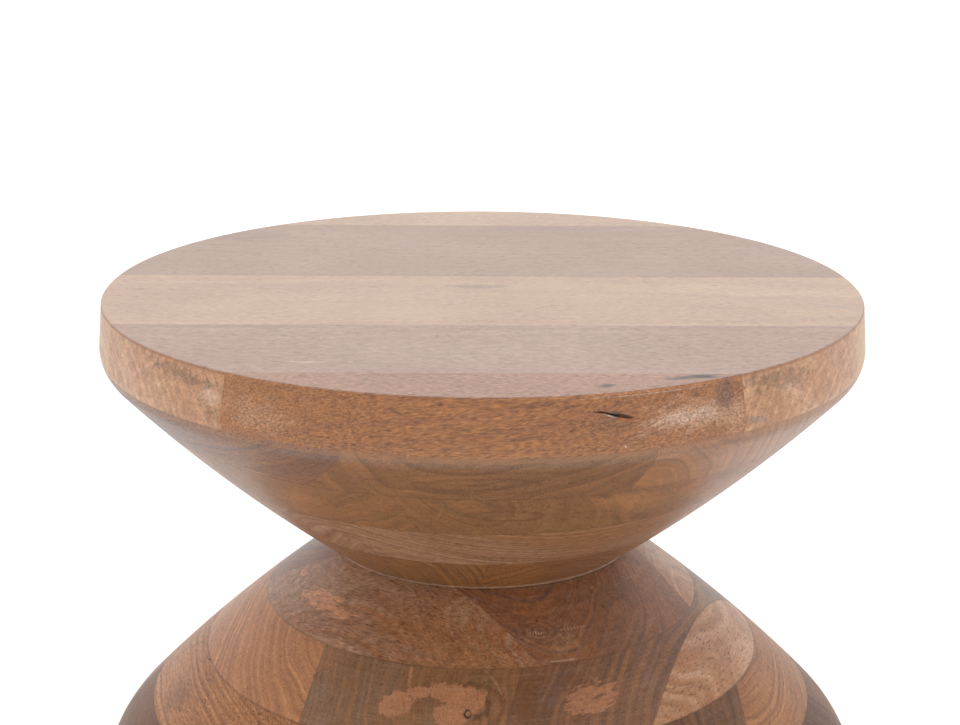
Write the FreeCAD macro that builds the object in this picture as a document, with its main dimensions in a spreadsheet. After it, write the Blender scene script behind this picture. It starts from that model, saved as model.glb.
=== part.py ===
"""Hourglass side table turned from laminated hardwood.

The table is two turned halves, a bowl above and a base below, that meet at a narrow waist.
Each half is a stack of five board layers. Every layer is glued up from planks, and the grain
of each layer runs in its own direction. Four wooden dowels hold the halves together, and the
base stands on four felt pads. Lengths are in millimetres, angles in degrees, +Z is up and the
origin is on the floor under the middle of the table.
"""
import FreeCAD, Part
import Sketcher
import math
import os

# Driving sizes
SIZES = {
    # Flat round top with a straight rim that flares out a little towards its lower corner
    "rim_radius": 249.9,
    "rim_flare_angle": 4.4,
    "rim_face_height": 27.7,
    "rim_corner_radius": 21.8,
    "top_edge_bevel": 1.1,
    # Gently curved underside of the bowl, down to a thin upright lip at the waist
    "bowl_flank_radius": 1051.5,
    "waist_radius": 101.0,
    "waist_lip_height": 1.2,
    # Base, from its rounded bottom edge over a soft shoulder to a flank like the bowl's
    "base_radius": 259.1,
    "base_edge_radius": 4.0,
    "base_shoulder_radius": 74.4,
    "base_flank_radius": 1080.5,
    "collar_setback": 1.3,
    # Narrow relief that leaves a shadow line between the halves
    "seam_relief_height": 0.6,
    "seam_relief_depth": 1.6,
    # Thickness of the boards, and what is planed off those of some layers
    "board_thickness": 36.0,
    "bowl_planing": 1.2,
    "neck_planing": 4.7,
    "foot_planing": 1.5,
    # Dowels across the waist, on a circle that is a share of the collar's radius
    "dowel_radius": 6.0,
    "dowel_length": 50.0,
    "dowel_end_chamfer": 1.0,
    "dowel_side_clearance": 0.1,
    "dowel_end_clearance": 0.5,
    "dowel_circle_share": 0.45,
    # Round felt pads under the base, set in from its widest radius
    "pad_radius": 20.0,
    "pad_thickness": 3.0,
    "pad_edge_chamfer": 0.5,
    "pad_inset": 54.1,
    "first_pad_angle": 45.0,
    # Waste left around a rough plank before turning
    "rough_allowance": 10.0,
}

# Board layers from the floor up: name, what is planed off its boards, direction of the grain, and
# where the glue joints between its planks lie across the grain, as shares of the half's radius
BASE_LAYERS = (
    ("foot", "foot_planing", 150.0, (-0.574, -0.048, 0.497)),
    ("hip", None, 30.0, (-0.497, 0.029, 0.536)),
    ("skirt", None, 98.4, (-0.585, -0.048, 0.478)),
    ("flank", None, 70.5, (-0.582, -0.277, 0.224)),
    ("collar", None, 142.0, (-0.202, 0.338)),
)
BOWL_LAYERS = (
    ("neck", "neck_planing", 100.0, (0.08,)),
    ("throat", "bowl_planing", 22.0, (-0.268, 0.248)),
    ("bowl", "bowl_planing", 65.0, (-0.717, -0.168, 0.376)),
    ("shoulder", "bowl_planing", 118.0, (-0.568, 0.079, 0.727)),
    ("tabletop", "bowl_planing", 0.0, (-0.796, -0.367, 0.146, 0.784)),
)

DOWEL_COUNT = 4
PAD_COUNT = 4
FULL_TURN = 360.0
QUARTER_TURN = 90.0

doc = FreeCAD.newDocument("hourglass_side_table")
sheet = doc.addObject("Spreadsheet::Sheet", "Sizes")


def add_size(alias, number):
    """Write one named size into the next free row of the sheet."""
    add_size.row += 1
    sheet.set(f"A{add_size.row}", alias)
    sheet.set(f"B{add_size.row}", str(number))
    sheet.setAlias(f"B{add_size.row}", alias)


add_size.row = 0


def size(alias):
    """Value of a named size."""
    return float(sheet.get(alias))


def cell(alias):
    """Name of a size as an expression reads it."""
    return f"Sizes.{alias}"


def thickness_of(planing):
    """Thickness of a layer's boards after planing, as an expression."""
    if planing is None:
        return cell("board_thickness")
    return f"({cell('board_thickness')} - {cell(planing)})"


def stack(layers):
    """Total thickness of some layers, as an expression."""
    return " + ".join(thickness_of(planing) for _, planing, _, _ in layers)


def stack_height(layers):
    """Total thickness of some layers."""
    planed_off = sum(size(planing) for _, planing, _, _ in layers if planing)
    return len(layers) * size("board_thickness") - planed_off


def fill_sheet():
    """Enter the driving sizes and each layer's grain direction and joint shares."""
    for alias, number in SIZES.items():
        add_size(alias, number)
    for name, _, angle, shares in BASE_LAYERS + BOWL_LAYERS:
        add_size(f"{name}_grain_angle", angle)
        for index, share in enumerate(shares, start=1):
            add_size(f"{name}_joint_{index}_share", share)
    doc.recompute()


fill_sheet()
FLOOR_LEVEL = cell("pad_thickness")
WAIST_LEVEL = f"{FLOOR_LEVEL} + {stack(BASE_LAYERS)}"
TOP_LEVEL = f"{WAIST_LEVEL} + {stack(BOWL_LAYERS)}"
COLLAR_RADIUS = f"({cell('waist_radius')} - {cell('collar_setback')})"
DOWEL_CIRCLE = f"{cell('dowel_circle_share')} * {COLLAR_RADIUS}"
PAD_CIRCLE = f"({cell('base_radius')} - {cell('pad_inset')})"


def plane_of(body, role):
    """One of a body's own origin planes or axes."""
    for feature in body.Origin.OriginFeatures:
        if feature.Role == role:
            return feature
    raise RuntimeError(f"{body.Label} has no {role}")


def new_body(name):
    """An empty body with its label."""
    body = doc.addObject("PartDesign::Body", name)
    body.Label = name
    return body


def new_sketch(body, name, role):
    """A sketch on one of the body's own origin planes."""
    sketch = body.newObject("Sketcher::SketchObject", name)
    sketch.AttachmentSupport = (plane_of(body, role), [""])
    sketch.MapMode = "FlatFace"
    return sketch


def bind(sketch, name, expression):
    """Name the newest constraint and tie it to an expression."""
    sketch.renameConstraint(sketch.ConstraintCount - 1, name)
    sketch.setExpression(f"Constraints.{name}", expression)


def vector(point):
    """A point of an outline in the sketch plane."""
    return FreeCAD.Vector(point[0], point[1], 0)


def add_line(sketch, start, end):
    """Add a straight line and return its index."""
    return sketch.addGeometry(Part.LineSegment(vector(start), vector(end)), False)


def add_arc(sketch, centre, radius, first_angle, last_angle):
    """Add an arc that runs anticlockwise and return its index."""
    circle = Part.Circle(vector(centre), FreeCAD.Vector(0, 0, 1), radius)
    return sketch.addGeometry(Part.ArcOfCircle(circle, first_angle, last_angle), False)


def on_circle(centre, radius, angle):
    """The point of a circle at an angle."""
    return (centre[0] + radius * math.cos(angle), centre[1] + radius * math.sin(angle))


def flank_centre(corner_centre, corner_radius, flank_radius, end, side):
    """Centre of the flank arc that continues the corner arc smoothly and ends at a point."""
    reach = flank_radius - corner_radius
    span = math.dist(corner_centre, end)
    bend = math.acos((span**2 + reach**2 - flank_radius**2) / (2 * span * reach))
    heading = math.atan2(end[1] - corner_centre[1], end[0] - corner_centre[0])
    return on_circle(corner_centre, reach, heading + side * bend)


def angle_from(centre, point):
    """Direction of a point seen from a centre."""
    return math.atan2(point[1] - centre[1], point[0] - centre[0])


def turned(body, sketch):
    """Turn a half outline round the upright axis."""
    revolution = body.newObject("PartDesign::Revolution", f"{body.Name}_turning")
    revolution.Profile = sketch
    revolution.ReferenceAxis = (sketch, ["V_Axis"])
    revolution.Angle = FULL_TURN
    sketch.Visibility = False
    return revolution


def dowel_bores(body, upwards):
    """Drill the dowel bores into a half from its waist face."""
    sketch = new_sketch(body, f"{body.Name}_bore_circle", "XY_Plane")
    sketch.AttachmentOffset = FreeCAD.Placement(
        FreeCAD.Vector(0, 0, 0), FreeCAD.Rotation(FreeCAD.Vector(0, 0, 1), QUARTER_TURN)
    )
    sketch.setExpression("AttachmentOffset.Base.z", WAIST_LEVEL)
    sketch.setExpression("AttachmentOffset.Rotation.Angle", cell("neck_grain_angle"))
    bore_radius = size("dowel_radius") + size("dowel_side_clearance")
    circle_radius = size("dowel_circle_share") * (size("waist_radius") - size("collar_setback"))
    centre = vector((circle_radius, 0))
    sketch.addGeometry(Part.Circle(centre, FreeCAD.Vector(0, 0, 1), bore_radius), False)
    sketch.addConstraint(Sketcher.Constraint("PointOnObject", 0, 3, -1))
    sketch.addConstraint(Sketcher.Constraint("DistanceX", -1, 1, 0, 3, circle_radius))
    bind(sketch, "circle_radius", DOWEL_CIRCLE)
    sketch.addConstraint(Sketcher.Constraint("Radius", 0, bore_radius))
    bind(sketch, "bore_radius", f"{cell('dowel_radius')} + {cell('dowel_side_clearance')}")
    doc.recompute()
    pocket = body.newObject("PartDesign::Pocket", f"{body.Name}_bore")
    pocket.Profile = sketch
    pocket.setExpression("Length", f"{cell('dowel_length')} / 2 + {cell('dowel_end_clearance')}")
    pocket.Reversed = upwards
    doc.recompute()
    pattern = body.newObject("PartDesign::PolarPattern", f"{body.Name}_bores")
    pattern.Originals = [pocket]
    pattern.Axis = (plane_of(body, "Z_Axis"), [""])
    pattern.Angle = FULL_TURN
    pattern.Occurrences = DOWEL_COUNT
    body.Tip = pattern
    doc.recompute()


def bowl_outline(sketch):
    """Half outline of the bowl: flat top, bevel, flared rim, corner, flank and waist lip."""
    waist = size("pad_thickness") + stack_height(BASE_LAYERS)
    top = waist + stack_height(BOWL_LAYERS)
    rim = size("rim_radius")
    flare = math.radians(size("rim_flare_angle"))
    bevel = size("top_edge_bevel")
    corner = size("rim_corner_radius")
    flank = size("bowl_flank_radius")
    waist_edge = (size("waist_radius"), waist + size("waist_lip_height"))
    rim_end = (rim, top - size("rim_face_height"))
    corner_centre = on_circle(rim_end, corner, flare + math.pi)
    curve_centre = flank_centre(corner_centre, corner, flank, waist_edge, -1)
    meeting_angle = angle_from(curve_centre, corner_centre)
    rim_length = (size("rim_face_height") - bevel) / math.cos(flare)
    rim_start = on_circle(rim_end, rim_length, flare + math.pi / 2)
    face_edge = (rim_start[0] - bevel, top)

    axis = add_line(sketch, (0, waist), (0, top))
    face = add_line(sketch, (0, top), face_edge)
    bevel_line = add_line(sketch, face_edge, rim_start)
    rim_line = add_line(sketch, rim_start, rim_end)
    corner_arc = add_arc(sketch, corner_centre, corner, meeting_angle, flare)
    flank_arc = add_arc(sketch, curve_centre, flank, angle_from(curve_centre, waist_edge), meeting_angle)
    lip = add_line(sketch, waist_edge, (waist_edge[0], waist))
    underside = add_line(sketch, (waist_edge[0], waist), (0, waist))

    sketch.addConstraint([
        Sketcher.Constraint("Coincident", axis, 2, face, 1),
        Sketcher.Constraint("Coincident", face, 2, bevel_line, 1),
        Sketcher.Constraint("Coincident", bevel_line, 2, rim_line, 1),
        Sketcher.Constraint("Tangent", rim_line, 2, corner_arc, 2),
        Sketcher.Constraint("Tangent", corner_arc, 1, flank_arc, 2),
        Sketcher.Constraint("Coincident", flank_arc, 1, lip, 1),
        Sketcher.Constraint("Coincident", lip, 2, underside, 1),
        Sketcher.Constraint("Coincident", underside, 2, axis, 1),
        Sketcher.Constraint("PointOnObject", axis, 1, -2),
        Sketcher.Constraint("Vertical", axis),
        Sketcher.Constraint("Horizontal", face),
        Sketcher.Constraint("Vertical", lip),
        Sketcher.Constraint("Horizontal", underside),
    ])
    sketch.addConstraint(Sketcher.Constraint("DistanceY", -1, 1, axis, 1, waist))
    bind(sketch, "waist_level", WAIST_LEVEL)
    sketch.addConstraint(Sketcher.Constraint("DistanceY", -1, 1, axis, 2, top))
    bind(sketch, "top_level", TOP_LEVEL)
    sketch.addConstraint(Sketcher.Constraint("DistanceX", bevel_line, 1, bevel_line, 2, bevel))
    bind(sketch, "bevel_width", cell("top_edge_bevel"))
    sketch.addConstraint(Sketcher.Constraint("DistanceY", bevel_line, 2, bevel_line, 1, bevel))
    bind(sketch, "bevel_drop", cell("top_edge_bevel"))
    sketch.addConstraint(Sketcher.Constraint("DistanceX", -1, 1, rim_line, 2, rim))
    bind(sketch, "rim_radius", cell("rim_radius"))
    sketch.addConstraint(Sketcher.Constraint("DistanceY", rim_line, 2, axis, 2, size("rim_face_height")))
    bind(sketch, "rim_face_height", cell("rim_face_height"))
    sketch.addConstraint(Sketcher.Constraint("Angle", rim_line, flare - math.pi / 2))
    bind(sketch, "rim_direction", f"{cell('rim_flare_angle')} - {QUARTER_TURN}")
    sketch.addConstraint(Sketcher.Constraint("Radius", corner_arc, corner))
    bind(sketch, "corner_radius", cell("rim_corner_radius"))
    sketch.addConstraint(Sketcher.Constraint("Radius", flank_arc, flank))
    bind(sketch, "flank_radius", cell("bowl_flank_radius"))
    sketch.addConstraint(Sketcher.Constraint("DistanceX", -1, 1, lip, 1, waist_edge[0]))
    bind(sketch, "waist_radius", cell("waist_radius"))
    sketch.addConstraint(Sketcher.Constraint("DistanceY", lip, 2, lip, 1, size("waist_lip_height")))
    bind(sketch, "lip_height", cell("waist_lip_height"))


def base_outline(sketch):
    """Half outline of the base: rounded bottom edge, soft shoulder, flank and seam relief."""
    floor = size("pad_thickness")
    waist = floor + stack_height(BASE_LAYERS)
    widest = size("base_radius")
    edge = size("base_edge_radius")
    shoulder = size("base_shoulder_radius")
    flank = size("base_flank_radius")
    collar_edge = (size("waist_radius") - size("collar_setback"), waist - size("seam_relief_height"))
    relief_radius = collar_edge[0] - size("seam_relief_depth")
    edge_centre = (widest - edge, floor + edge)
    shoulder_centre = (widest - shoulder, floor + edge)
    curve_centre = flank_centre(shoulder_centre, shoulder, flank, collar_edge, 1)
    meeting_angle = angle_from(curve_centre, shoulder_centre)

    axis = add_line(sketch, (0, waist), (0, floor))
    underside = add_line(sketch, (0, floor), (edge_centre[0], floor))
    edge_arc = add_arc(sketch, edge_centre, edge, -math.pi / 2, 0)
    shoulder_arc = add_arc(sketch, shoulder_centre, shoulder, 0, meeting_angle)
    flank_arc = add_arc(sketch, curve_centre, flank, meeting_angle, angle_from(curve_centre, collar_edge))
    relief_floor = add_line(sketch, collar_edge, (relief_radius, collar_edge[1]))
    relief_wall = add_line(sketch, (relief_radius, collar_edge[1]), (relief_radius, waist))
    top_face = add_line(sketch, (relief_radius, waist), (0, waist))

    sketch.addConstraint([
        Sketcher.Constraint("Coincident", axis, 2, underside, 1),
        Sketcher.Constraint("Tangent", underside, 2, edge_arc, 1),
        Sketcher.Constraint("Tangent", edge_arc, 2, shoulder_arc, 1),
        Sketcher.Constraint("Tangent", shoulder_arc, 2, flank_arc, 1),
        Sketcher.Constraint("Coincident", flank_arc, 2, relief_floor, 1),
        Sketcher.Constraint("Coincident", relief_floor, 2, relief_wall, 1),
        Sketcher.Constraint("Coincident", relief_wall, 2, top_face, 1),
        Sketcher.Constraint("Coincident", top_face, 2, axis, 1),
        Sketcher.Constraint("PointOnObject", axis, 1, -2),
        Sketcher.Constraint("Vertical", axis),
        Sketcher.Constraint("Horizontal", underside),
        Sketcher.Constraint("Horizontal", edge_arc, 3, edge_arc, 2),
        Sketcher.Constraint("Horizontal", relief_floor),
        Sketcher.Constraint("Vertical", relief_wall),
        Sketcher.Constraint("Horizontal", top_face),
    ])
    sketch.addConstraint(Sketcher.Constraint("DistanceY", -1, 1, axis, 2, floor))
    bind(sketch, "floor_level", FLOOR_LEVEL)
    sketch.addConstraint(Sketcher.Constraint("DistanceY", -1, 1, axis, 1, waist))
    bind(sketch, "waist_level", WAIST_LEVEL)
    sketch.addConstraint(Sketcher.Constraint("Radius", edge_arc, edge))
    bind(sketch, "edge_radius", cell("base_edge_radius"))
    sketch.addConstraint(Sketcher.Constraint("DistanceX", -1, 1, edge_arc, 2, widest))
    bind(sketch, "base_radius", cell("base_radius"))
    sketch.addConstraint(Sketcher.Constraint("Radius", shoulder_arc, shoulder))
    bind(sketch, "shoulder_radius", cell("base_shoulder_radius"))
    sketch.addConstraint(Sketcher.Constraint("Radius", flank_arc, flank))
    bind(sketch, "flank_radius", cell("base_flank_radius"))
    sketch.addConstraint(Sketcher.Constraint("DistanceX", -1, 1, relief_floor, 1, collar_edge[0]))
    bind(sketch, "collar_radius", COLLAR_RADIUS)
    sketch.addConstraint(
        Sketcher.Constraint("DistanceX", relief_floor, 2, relief_floor, 1, size("seam_relief_depth"))
    )
    bind(sketch, "relief_depth", cell("seam_relief_depth"))
    sketch.addConstraint(
        Sketcher.Constraint("DistanceY", relief_wall, 1, relief_wall, 2, size("seam_relief_height"))
    )
    bind(sketch, "relief_height", cell("seam_relief_height"))


def turned_half(name, outline, upwards):
    """One half as it leaves the lathe, drilled for the dowels, before it is told into planks."""
    body = new_body(name)
    sketch = new_sketch(body, f"{name}_outline", "XZ_Plane")
    outline(sketch)
    doc.recompute()
    if not sketch.FullyConstrained:
        raise RuntimeError(f"{name} outline is not fully constrained")
    turned(body, sketch)
    doc.recompute()
    whole = body.Shape.Volume
    dowel_bores(body, upwards)
    depth = size("dowel_length") / 2 + size("dowel_end_clearance")
    bore_area = math.pi * (size("dowel_radius") + size("dowel_side_clearance"))**2
    removed = whole - body.Shape.Volume
    if not math.isclose(removed, DOWEL_COUNT * bore_area * depth, rel_tol=0.001):
        raise RuntimeError(f"{name} bores removed {removed:.0f} cubic millimetres")
    return body


def plank(layer, number, half, reach, low, high, level, thickness):
    """One plank of a layer: a rough board at its grain direction, turned to the half's form."""
    name = f"{layer}_plank_{number}"
    angle = f"{cell(f'{layer}_grain_angle')} * 1 deg"
    rough = doc.addObject("Part::Box", f"{name}_rough")
    rough.Placement = FreeCAD.Placement(
        FreeCAD.Vector(0, 0, 0), FreeCAD.Rotation(FreeCAD.Vector(0, 0, 1), QUARTER_TURN)
    )
    rough.setExpression("Length", f"2 * ({reach})")
    rough.setExpression("Width", f"({high}) - ({low})")
    rough.setExpression("Height", thickness)
    rough.setExpression("Placement.Base.x", f"-({reach}) * cos({angle}) - ({low}) * sin({angle})")
    rough.setExpression("Placement.Base.y", f"-({reach}) * sin({angle}) + ({low}) * cos({angle})")
    rough.setExpression("Placement.Base.z", level)
    rough.setExpression("Placement.Rotation.Angle", cell(f"{layer}_grain_angle"))
    board = doc.addObject("Part::Common", name)
    board.Base = half
    board.Tool = rough
    board.Label = name
    return board


def planks_of(layers, half, radius, level):
    """All planks of a half, layer by layer from the lowest, each between two glue joints."""
    planks = []
    reach = f"{cell(radius)} + {cell('rough_allowance')}"
    for layer, planing, _, shares in layers:
        joints = [f"{cell(radius)} * {cell(f'{layer}_joint_{index}_share')}"
                  for index in range(1, len(shares) + 1)]
        edges = [f"-({reach})", *joints, reach]
        for number, (low, high) in enumerate(zip(edges, edges[1:]), start=1):
            planks.append(plank(layer, number, half, reach, low, high, level, thickness_of(planing)))
        level = f"{level} + {thickness_of(planing)}"
    return planks


def round_pin(name, radius, length, chamfer):
    """A round pin standing on its own origin, with both end edges chamfered."""
    body = new_body(name)
    sketch = new_sketch(body, f"{name}_section", "XY_Plane")
    sketch.addGeometry(Part.Circle(FreeCAD.Vector(0, 0, 0), FreeCAD.Vector(0, 0, 1), size(radius)), False)
    sketch.addConstraint(Sketcher.Constraint("Coincident", 0, 3, -1, 1))
    sketch.addConstraint(Sketcher.Constraint("Radius", 0, size(radius)))
    bind(sketch, "pin_radius", cell(radius))
    doc.recompute()
    pad = body.newObject("PartDesign::Pad", f"{name}_length")
    pad.Profile = sketch
    pad.setExpression("Length", cell(length))
    doc.recompute()
    ends = [f"Edge{index}" for index, edge in enumerate(pad.Shape.Edges, start=1) if edge.isClosed()]
    bevel = body.newObject("PartDesign::Chamfer", f"{name}_ends")
    bevel.Base = (pad, ends)
    bevel.setExpression("Size", cell(chamfer))
    body.Tip = bevel
    doc.recompute()
    return body


def place_on_circle(piece, radius, angle, level):
    """Stand a piece on a circle round the table's axis."""
    piece.setExpression("Placement.Base.x", f"{radius} * cos(({angle}) * 1 deg)")
    piece.setExpression("Placement.Base.y", f"{radius} * sin(({angle}) * 1 deg)")
    piece.setExpression("Placement.Base.z", level)


def waist_dowels():
    """Dowels across the waist, in line with and square to the grain of the neck."""
    dowels = []
    for number in range(1, DOWEL_COUNT + 1):
        dowel = round_pin(f"waist_dowel_{number}", "dowel_radius", "dowel_length", "dowel_end_chamfer")
        angle = f"{cell('neck_grain_angle')} + {FULL_TURN * (number - 1) / DOWEL_COUNT}"
        place_on_circle(dowel, DOWEL_CIRCLE, angle, f"{WAIST_LEVEL} - {cell('dowel_length')} / 2")
        dowels.append(dowel)
    return dowels


def felt_pads():
    """Felt pads under the foot layer, standing on the floor."""
    pads = []
    for number in range(1, PAD_COUNT + 1):
        pad = round_pin(f"felt_pad_{number}", "pad_radius", "pad_thickness", "pad_edge_chamfer")
        angle = f"{cell('first_pad_angle')} + {FULL_TURN * (number - 1) / PAD_COUNT}"
        place_on_circle(pad, PAD_CIRCLE, angle, f"{FLOOR_LEVEL} - {cell('pad_thickness')}")
        pads.append(pad)
    return pads


base_half = turned_half("turned_base", base_outline, False)
bowl_half = turned_half("turned_bowl", bowl_outline, True)
pieces = planks_of(BASE_LAYERS, base_half, "base_radius", FLOOR_LEVEL)
pieces += planks_of(BOWL_LAYERS, bowl_half, "rim_radius", WAIST_LEVEL)
pieces += waist_dowels()
pieces += felt_pads()
doc.recompute()

for item in doc.Objects:
    if "Invalid" in item.State or "Error" in item.State:
        raise RuntimeError(f"{item.Label} did not build: {item.State}")
for piece in pieces:
    if piece.Shape.isNull() or not piece.Shape.isValid() or len(piece.Shape.Solids) != 1:
        raise RuntimeError(f"{piece.Label} is not one valid solid")

os.makedirs("parts", exist_ok=True)
for piece in pieces:
    piece.Shape.exportStep(f"parts/{piece.Label}.step")
    print(f"{piece.Label}: {piece.Shape.Volume / 1000:.1f} cubic centimetres")
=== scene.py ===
"""Hourglass side table of laminated wood: the finish of its planks, its felt pads and a plain studio.

The turned planks come with the frame. Each gets a lacquered wood of its own, cut from its own place
in a log, so that its streaks, rings and pores run through it as they do through a real board.
Lengths are in metres, and bearings in degrees round the table from its front, to the right.
"""
import math
from typing import NamedTuple

import bpy
from mathutils import Euler, Matrix, Vector


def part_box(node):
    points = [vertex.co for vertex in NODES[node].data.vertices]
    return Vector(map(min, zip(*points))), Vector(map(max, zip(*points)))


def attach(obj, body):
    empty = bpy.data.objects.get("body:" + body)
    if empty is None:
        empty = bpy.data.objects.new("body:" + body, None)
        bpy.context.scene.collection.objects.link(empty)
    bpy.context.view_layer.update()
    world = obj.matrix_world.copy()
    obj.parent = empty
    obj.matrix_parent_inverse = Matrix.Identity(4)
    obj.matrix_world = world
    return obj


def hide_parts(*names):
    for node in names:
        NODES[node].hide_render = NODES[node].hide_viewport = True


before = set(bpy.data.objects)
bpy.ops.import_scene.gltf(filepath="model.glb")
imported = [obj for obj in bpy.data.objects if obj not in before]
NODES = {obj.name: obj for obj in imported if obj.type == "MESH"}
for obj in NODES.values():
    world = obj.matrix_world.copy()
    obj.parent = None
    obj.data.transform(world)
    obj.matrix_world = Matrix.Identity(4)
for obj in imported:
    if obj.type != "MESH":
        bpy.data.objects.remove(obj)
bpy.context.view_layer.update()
BODY = "root"
MM = 0.001
FLOOR_GAP = 0.004
SENSOR_WIDTH = 36.0
BUMP_STRENGTH = 0.6
SPECULAR_LEVEL = 0.5

bl_info = {
    "name": "Hourglass Side Table Finish",
    "version": (1, 0, 0),
    "blender": (4, 5, 0),
    "location": "View3D > Sidebar > Table",
    "description": "Lacquered wood for each plank of a laminated table, its felt pads and a studio",
    "category": "Object",
}


def linear(code):
    """Scene colour of a hexadecimal display colour, by the usual display curve."""
    values = [int(code[i:i + 2], 16) / 255 for i in (0, 2, 4)]
    return tuple(v / 12.92 if v <= 0.04045 else ((v + 0.055) / 1.055) ** 2.4 for v in values)


def colour_property(name, description, code):
    """A colour that a user can change."""
    return bpy.props.FloatVectorProperty(
        name=name, description=description, subtype="COLOR", size=3, min=0.0, max=1.0, default=linear(code))


def length_property(name, description, default, low, high):
    """A length that a user can change, in metres."""
    return bpy.props.FloatProperty(
        name=name, description=description, default=default, min=low, max=high, unit="LENGTH")


def share_property(name, description, default, high=1.0):
    """A share that a user can change."""
    return bpy.props.FloatProperty(
        name=name, description=description, default=default, min=0.0, max=high, subtype="FACTOR")


def angle_property(name, description, degrees):
    """An angle that a user can change."""
    return bpy.props.FloatProperty(
        name=name, description=description, default=math.radians(degrees), subtype="ANGLE")


def brightness_property(name, description, default):
    """A brightness that a user can change."""
    return bpy.props.FloatProperty(name=name, description=description, default=default, min=0.0)


class WoodColours(bpy.types.PropertyGroup):
    """Colours found in the planks"""

    # Copper is also the colour of the painted highlight along the edge of the top
    copper: colour_property("Copper", "Warm wood of the front of the rim", "a06634")
    # Cream, rose and stone are also the colours of the painted sheen that washes the flat top paler
    cream: colour_property("Cream", "Palest wood of the top", "d6baa7")
    rose: colour_property("Rose", "Pinkish wood of the top", "b98f7c")
    stone: colour_property("Stone", "Greyish wood of the top", "b69d95")
    straw: colour_property("Straw", "Light sapwood", "c49868")
    orange: colour_property("Orange", "Warm flush in pale wood", "bd7c4c")
    tan: colour_property("Tan", "Warm tan wood", "b27a4c")
    salmon: colour_property("Salmon", "Patches of pink sapwood", "bc8058")
    peach: colour_property("Peach", "Palest patches of the base", "d4956c")
    sand: colour_property("Sand", "Light wood of the rim's ends", "bf9270")
    rust: colour_property("Rust", "Flecks of fresh wood in a crack", "c8602c")
    chestnut: colour_property("Chestnut", "Orange-brown wood", "9c6238")
    brown: colour_property("Brown", "Plain brown wood", "895c38")
    olive: colour_property("Olive", "Greenish brown wood", "805c3a")
    umber: colour_property("Umber", "Dark brown streaks", "5e3d24")
    plum: colour_property("Plum", "Purplish dark wood", "74503f")
    slate: colour_property("Slate", "Bluish stain around knots", "3d3638")
    ash: colour_property("Ash", "Grey weathered wood", "98806f")
    # Bark also darkens the inside of the crack, partly as painted shade
    bark: colour_property("Bark", "Bark and the inside of cracks", "2c1a16")
    pore: colour_property("Pore", "Open pores", "452b1a")
    birch: colour_property("Birch", "Pale wood of the dowels", "c9aa80")


class WoodGrain(bpy.types.PropertyGroup):
    """Shape of the grain that all planks share"""

    pore_width: length_property(
        "Pore width", "Usual spacing of the pores across the grain", 0.0013, 0.0003, 0.01)
    pore_depth: length_property("Pore depth", "Depth of the pores under the lacquer", 0.0002, 0.0, 0.002)
    fibre_width: length_property("Fibre width", "Width of the finest streaks", 0.0009, 0.0002, 0.01)
    streak_width: length_property("Streak width", "Width of the broad streaks", 0.009, 0.001, 0.05)
    sway: length_property("Sway", "How far the rings wander off their circle", 0.008, 0.0, 0.05)
    curl: length_property("Curl", "How far the fibres wave", 0.006, 0.0, 0.05)
    mottle_width: length_property(
        "Mottle width", "Size of the cloudy spots of end grain", 0.005, 0.001, 0.05)
    # Painted sheen on the flat top: how strongly it is washed paler, and how far below the top that fades
    # out
    painted_sheen: share_property("Bleach", "How far the flat top is bleached", 0.6)
    painted_sheen_depth: length_property(
        "Bleach depth", "How far below the top the bleach fades out", 0.0012, 0.0, 0.01)
    # Width of the painted highlight, a warm line along the edge of the top
    edge_highlight_width: length_property(
        "Edge line", "Width of the warmer line along the edge of the top", 0.0012, 0.0001, 0.01)
    glue_width: length_property("Glue line", "Width of the line where two planks meet", 0.0007, 0.0, 0.003)
    turning_width: length_property(
        "Turning marks", "Spacing of the fine rings that the turning tool left", 0.0014, 0.0003, 0.01)
    band_height: length_property(
        "Pore band", "Height of the band of open pores under the rim", 0.0045, 0.0, 0.02)
    band_spacing: length_property("Pore spacing", "Spacing of the pores in that band", 0.0017, 0.0003, 0.01)


class Crack(bpy.types.PropertyGroup):
    """The open crack in the rim"""

    roughness: share_property(
        "Roughness", "How ragged the crack's walls are, as a share of its size", 0.3, 0.5)
    merge_distance: length_property(
        "Merge distance", "Points of the plank nearer than this become one", 0.000001, 0.0, 0.0001)
    smooth_angle: angle_property("Smooth angle", "Edges sharper than this stay sharp", 30)


class Felt(bpy.types.PropertyGroup):
    """Pressed felt under the base"""

    light: colour_property("Light fibres", "Lightest fibres of the felt", "6f665c")
    dark: colour_property("Dark fibres", "Darkest fibres of the felt", "3d3833")
    edge: length_property("Edge", "Width of the rounded edge of a pad", 0.0006, 0.0, 0.002)
    fuzz: length_property("Fuzz", "How far the fibres stand out at the side", 0.00025, 0.0, 0.002)
    fibre_width: length_property("Fibre width", "Spacing of the fibres", 0.0005, 0.0001, 0.005)


class Lacquer(bpy.types.PropertyGroup):
    """Clear satin finish over the wood"""

    wood_roughness: share_property("Wood roughness", "Roughness of the sealed wood", 0.5)
    coat_weight: share_property("Coat", "How much lacquer lies over the wood", 0.5)
    coat_roughness: share_property("Coat roughness", "How satin the lacquer is", 0.33)


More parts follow.
